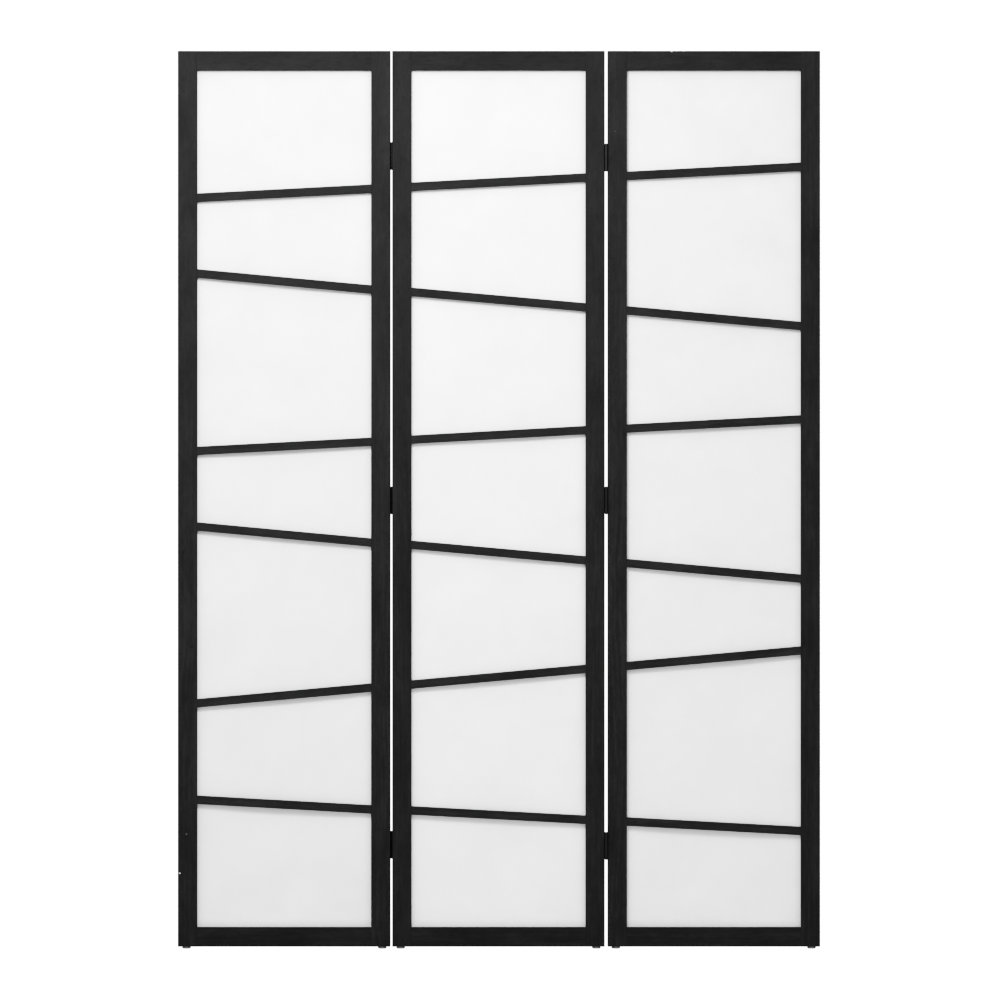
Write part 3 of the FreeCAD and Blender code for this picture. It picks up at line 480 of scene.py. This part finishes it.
def fabric_sheet(panel, seed):
    node = f"{panel}_panel_fabric"
    lo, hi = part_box(node)
    thick = 0.00045
    xs, zs = lines(lo.x, hi.x, 0.035, 0.0048), lines(lo.z, hi.z, 0.035, 0.0055)
    X, Z = np.meshgrid(xs, zs)
    rng = np.random.default_rng(seed)
    xc, half = (lo.x + hi.x) / 2, (hi.x - lo.x) / 2 - 0.0078
    zlo, zhi = lo.z + 0.0078, hi.z - 0.0078
    a = np.clip(np.abs(X - xc) / half, 0, 1)
    ends = np.minimum(Z - zlo, zhi - Z)
    free_z = 1 - np.exp(-np.clip(ends, 0, None) / 0.045)
    border = np.clip(np.minimum(half - np.abs(X - xc), ends), 0, None)
    free = smoothstep(0.0, 0.028, border)
    # slack between the stiles lets the sheet belly backwards, more in its lower half
    slack = 0.0014 + 0.0011 * (zhi - Z) / (zhi - zlo) + 0.0006 * smooth_noise(0 * X, Z, rng, 1.0, 0.55, 12)
    depth = np.clip(slack, 0.0008, 0.0036) * (1 - a ** 2.3) * free_z
    # broad waves, then faint pulls that run aslant and upright
    depth += free * 0.00030 * smooth_noise(X, Z, rng, 0.20, 0.26)
    slant = X * 0.82 + Z * 0.57
    depth += free * 0.00006 * smooth_noise(slant, Z - X, rng, 0.045, 0.55)
    depth += free * 0.00004 * smooth_noise(X, Z, rng, 0.030, 0.40)
    # small puckers where the beads pinch the edges
    pinch = smoothstep(0.0, 0.006, border) * np.exp(-border / 0.016)
    depth += pinch * 0.00022 * smooth_noise(X, Z, rng, 0.034, 0.034)
    depth = np.clip(depth, -0.0006, 0.0058)
    front = lo.y + 0.00003 + depth
    nz, nx = X.shape
    V = np.concatenate([
        np.stack([X, front, Z], -1).reshape(-1, 3),
        np.stack([X, front + thick, Z], -1).reshape(-1, 3),
    ])
    idx = np.arange(nz * nx).reshape(nz, nx)
    a0, b0, c0, d0 = idx[:-1, :-1], idx[:-1, 1:], idx[1:, 1:], idx[1:, :-1]
    faces = [np.stack([a0, b0, c0, d0], -1).reshape(-1, 4)]
    o = nz * nx
    faces.append(np.stack([d0, c0, b0, a0], -1).reshape(-1, 4) + o)
    loop = np.concatenate([idx[0, :], idx[1:, -1], idx[-1, -2::-1], idx[-2:0:-1, 0]])
    nxt = np.roll(loop, -1)
    faces.append(np.stack([nxt, loop, loop + o, nxt + o], -1))
    F = np.concatenate(faces)
    me = bpy.data.meshes.new(f"{panel}_fabric_sheet")
    me.from_pydata([tuple(v) for v in V.tolist()], [], F.tolist())
    me.polygons.foreach_set("use_smooth", np.concatenate([np.ones(len(F) - len(loop), bool), np.zeros(len(loop), bool)]))
    me.update()
    ob = bpy.data.objects.new(f"{panel}_fabric_sheet", me)
    bpy.context.scene.collection.objects.link(ob)
    me.materials.append(nonwoven(f"nonwoven_{panel}", (xc, lo.y, (zlo + zhi) / 2), seed, TONE[panel]))
    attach(ob, f"{panel}_panel")
    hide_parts(node)
    return ob


for i, p in enumerate(PANELS):
    fabric_sheet(p, 11 + 7 * i)


# ---------------------------------------------------------------- floor, backdrop
def glow(name, colour, strength, diffuse=None):
    m = bpy.data.materials.new(name)
    m.use_nodes = True
    nt = m.node_tree
    nt.nodes.clear()
    out = nt.nodes.new("ShaderNodeOutputMaterial")
    em = nt.nodes.new("ShaderNodeEmission")
    em.inputs[0].default_value = (*colour, 1)
    em.inputs[1].default_value = strength
    if diffuse is None:
        nt.links.new(em.outputs[0], out.inputs[0])
    else:
        df = nt.nodes.new("ShaderNodeBsdfDiffuse")
        df.inputs[0].default_value = (*diffuse, 1)
        ad = nt.nodes.new("ShaderNodeAddShader")
        nt.links.new(em.outputs[0], ad.inputs[0])
        nt.links.new(df.outputs[0], ad.inputs[1])
        nt.links.new(ad.outputs[0], out.inputs[0])
    return m


def camera_only(o):
    o.visible_diffuse = o.visible_glossy = o.visible_transmission = o.visible_volume_scatter = o.visible_shadow = False


bpy.ops.mesh.primitive_circle_add(vertices=128, radius=39.0, fill_type="NGON", location=(0, 0, 0))
floor = bpy.context.object
floor.name = "floor"
floor.data.materials.append(glow("pale_floor", (1, 1, 1), 0.97, (0.16, 0.16, 0.16)))
camera_only(floor)
bpy.ops.mesh.primitive_uv_sphere_add(segments=64, ring_count=32, radius=40.0, location=(0, 0, 0))
dome = bpy.context.object
dome.name = "backdrop"
dome.data.materials.append(glow("pale_backdrop", (1, 1, 1), 1.03))
camera_only(dome)
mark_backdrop(floor, dome)


# ---------------------------------------------------------------- light
def area(name, loc, target, size, power, size_y=None, spread=180.0):
    d = bpy.data.lights.new(name, "AREA")
    d.shape = "RECTANGLE" if size_y else "SQUARE"
    d.size = size
    if size_y:
        d.size_y = size_y
    d.energy = power
    d.spread = math.radians(spread)
    o = bpy.data.objects.new(name, d)
    o.location = loc
    o.rotation_euler = (Vector(target) - Vector(loc)).to_track_quat("-Z", "Y").to_euler()
    o.visible_camera = False
    bpy.context.scene.collection.objects.link(o)
    return o


key = area("key_softbox", (-0.45, -1.85, 2.07), (-0.42, 0.0, 1.10), 0.55, 26.1)

# the pale floor in front of the screen throws light back up
bounce = area("floor_bounce", (0.0, -0.95, 0.015), (0.0, -0.95, 1.0), 3.2, 2.0, size_y=1.7)

FILL = 1.06
world = bpy.data.worlds.new("studio")
bpy.context.scene.world = world
world.use_nodes = True
wt = world.node_tree
wt.nodes.clear()
w_out = wt.nodes.new("ShaderNodeOutputWorld")
w_bg = wt.nodes.new("ShaderNodeBackground")
w_tc = wt.nodes.new("ShaderNodeTexCoord")
w_sep = wt.nodes.new("ShaderNodeSeparateXYZ")
wt.links.new(w_tc.outputs["Generated"], w_sep.inputs[0])


def w_range(value, a, b, lo, hi):
    n = wt.nodes.new("ShaderNodeMapRange")
    n.interpolation_type = "SMOOTHSTEP"
    n.clamp = True
    wt.links.new(value, n.inputs["Value"])
    for name, v in (("From Min", a), ("From Max", b), ("To Min", lo), ("To Max", hi)):
        n.inputs[name].default_value = v
    return n.outputs[0]


def w_math(op, a, b):
    n = wt.nodes.new("ShaderNodeMath")
    n.operation = op
    for value, socket in ((a, n.inputs[0]), (b, n.inputs[1])):
        if isinstance(value, bpy.types.NodeSocket):
            wt.links.new(value, socket)
        else:
            socket.default_value = value
    return n.outputs[0]


up = w_range(w_sep.outputs[2], -0.45, 0.30, 0.35, 1.0)          # darker below the horizon
facing = w_range(w_math("ABSOLUTE", w_sep.outputs[1], 0.0), 0.15, 0.85, 0.45, 1.0)   # broad soft walls in front and behind
w_str = w_math("MULTIPLY", w_math("MULTIPLY", up, facing), FILL)
w_bg.inputs[0].default_value = (1, 1, 1, 1)
wt.links.new(w_str, w_bg.inputs[1])
wt.links.new(w_bg.outputs[0], w_out.inputs[0])

# ---------------------------------------------------------------- camera
CAM_Y, FRONT_Y, MM_PER_PX = -6.5, -0.009, 1.8935
cam_data = bpy.data.cameras.new("camera")
cam_data.sensor_fit = "HORIZONTAL"
cam_data.sensor_width = 36.0
cam_data.lens = 36.0 * (FRONT_Y - CAM_Y) / MM_PER_PX
cam_data.clip_end = 200.0
cam = bpy.data.objects.new("camera", cam_data)
cam.location = (0.0019, CAM_Y, 0.8497)
cam.rotation_euler = (math.radians(90), 0, 0)
bpy.context.scene.collection.objects.link(cam)
bpy.context.scene.camera = cam

# ---------------------------------------------------------------- tone
vs = bpy.context.scene.view_settings
vs.view_transform = "Standard"
vs.look = "None"
vs.exposure = 0.0
vs.gamma = 1.0
vs.use_curve_mapping = True
cm = vs.curve_mapping
WHITE = 1.25
cm.white_level = (WHITE, WHITE, WHITE)
cm.extend = "HORIZONTAL"


def film(x):
    """Display light for scene light x: a soft shoulder to white at 1, and a toe that holds the blacks down."""
    low = 0.145 + 8.2 * min(x, 0.033)
    t = min(max((x - 0.04) / 0.16, 0.0), 1.0)
    toe = low + (1 - low) * t * t * (3 - 2 * t)
    return min((1 - math.exp(-1.5 * x)) / (1 - math.exp(-1.5)) * toe, 1.0)


curve = cm.curves[3]
for s in ([0.006, 0.012, 0.018, 0.024, 0.03] + [0.04 + 0.015 * i for i in range(12)] + [0.22 + 0.06 * i for i in range(13)] + [0.97, 1.0]):
    curve.points.new(s / WHITE, film(s))
for pt in curve.points:
    pt.handle_type = "VECTOR"
cm.update()

lo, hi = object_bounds()
